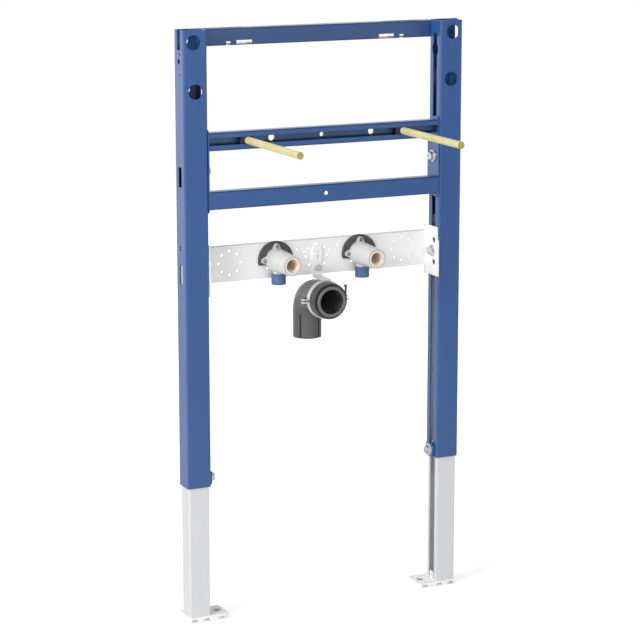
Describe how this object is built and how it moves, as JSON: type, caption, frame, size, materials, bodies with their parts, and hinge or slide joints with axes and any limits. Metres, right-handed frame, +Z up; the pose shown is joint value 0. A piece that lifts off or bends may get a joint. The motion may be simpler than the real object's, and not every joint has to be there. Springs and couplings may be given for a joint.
{
  "type": "washbasin installation frame",
  "caption": "Blue in-wall frame on telescopic legs that carries a washbasin on long studs, with a perforated plate for tap connectors and a drain bend.",
  "frame": {"origin": "middle of the upper rear lip of the top rail, on the face that meets the wall brackets", "axes": "+X to the right seen from the room, +Y to the wall, +Z up"},
  "size_m": [0.5, 0.299, 0.9808],
  "materials": {
    "powder_blue": "semi-gloss powder coat",
    "galvanised": "zinc coated sheet",
    "zinc_fastener": "bright zinc plate",
    "black_steel": "black oxide",
    "yellow_plastic": "soft protective sleeve",
    "white_plastic": "moulded housing",
    "bronze": "red bronze casting",
    "pad_rubber": "sound insulating pad",
    "cap_blue": "protective cap",
    "drain_grey": "pipe plastic",
    "seal_rubber": "sealing sleeve"
  },
  "bodies": {
    "frame": {"left_post": "powder_blue", "right_post": "powder_blue", "left_leg_clamp": "powder_blue", "right_leg_clamp": "powder_blue", "left_leg_bolt": "zinc_fastener", "right_leg_bolt": "zinc_fastener", "top_rail": "powder_blue"},
    "left_leg": {"left_leg": "galvanised", "left_foot_plate": "galvanised"},
    "right_leg": {"right_leg": "galvanised", "right_foot_plate": "galvanised"},
    "traverse": {"left_end_plate": "powder_blue", "right_end_plate": "powder_blue", "left_traverse_bolt": "zinc_fastener", "right_traverse_bolt": "zinc_fastener", "left_stud": "zinc_fastener", "right_stud": "zinc_fastener", "left_stud_nut": "black_steel", "right_stud_nut": "black_steel", "left_stud_sleeve": "yellow_plastic", "right_stud_sleeve": "yellow_plastic", "stud_bar": "powder_blue", "lower_bar": "powder_blue"},
    "tap_plate": {"tap_plate": "galvanised", "left_plate_bolt": "zinc_fastener", "right_plate_bolt": "zinc_fastener", "left_tap_pad": "pad_rubber", "right_tap_pad": "pad_rubber", "left_tap_body": "white_plastic", "right_tap_body": "white_plastic", "left_tap_insert": "bronze", "right_tap_insert": "bronze", "left_tap_screws": "zinc_fastener", "right_tap_screws": "zinc_fastener", "left_pipe_cap": "cap_blue", "right_pipe_cap": "cap_blue", "drain_strap": "galvanised", "strap_bolt": "zinc_fastener", "drain_bend": "drain_grey", "drain_seal": "seal_rubber", "pipe_clamp": "galvanised", "clamp_screws": "zinc_fastener"}
  },
  "joints": [
    {"name": "left_leg_slide", "type": "slide", "parent": "frame", "child": "left_leg", "axis": [0, 0, 1], "range_m": [-0.01, 0.15]},
    {"name": "right_leg_slide", "type": "slide", "parent": "frame", "child": "right_leg", "axis": [0, 0, 1], "range_m": [-0.01, 0.15]},
    {"name": "traverse_slide", "type": "slide", "parent": "frame", "child": "traverse", "axis": [0, 0, 1], "range_m": [-0.02, 0.08]},
    {"name": "tap_plate_slide", "type": "slide", "parent": "frame", "child": "tap_plate", "axis": [0, 0, 1], "range_m": [-0.08, 0.01]}
  ]
}
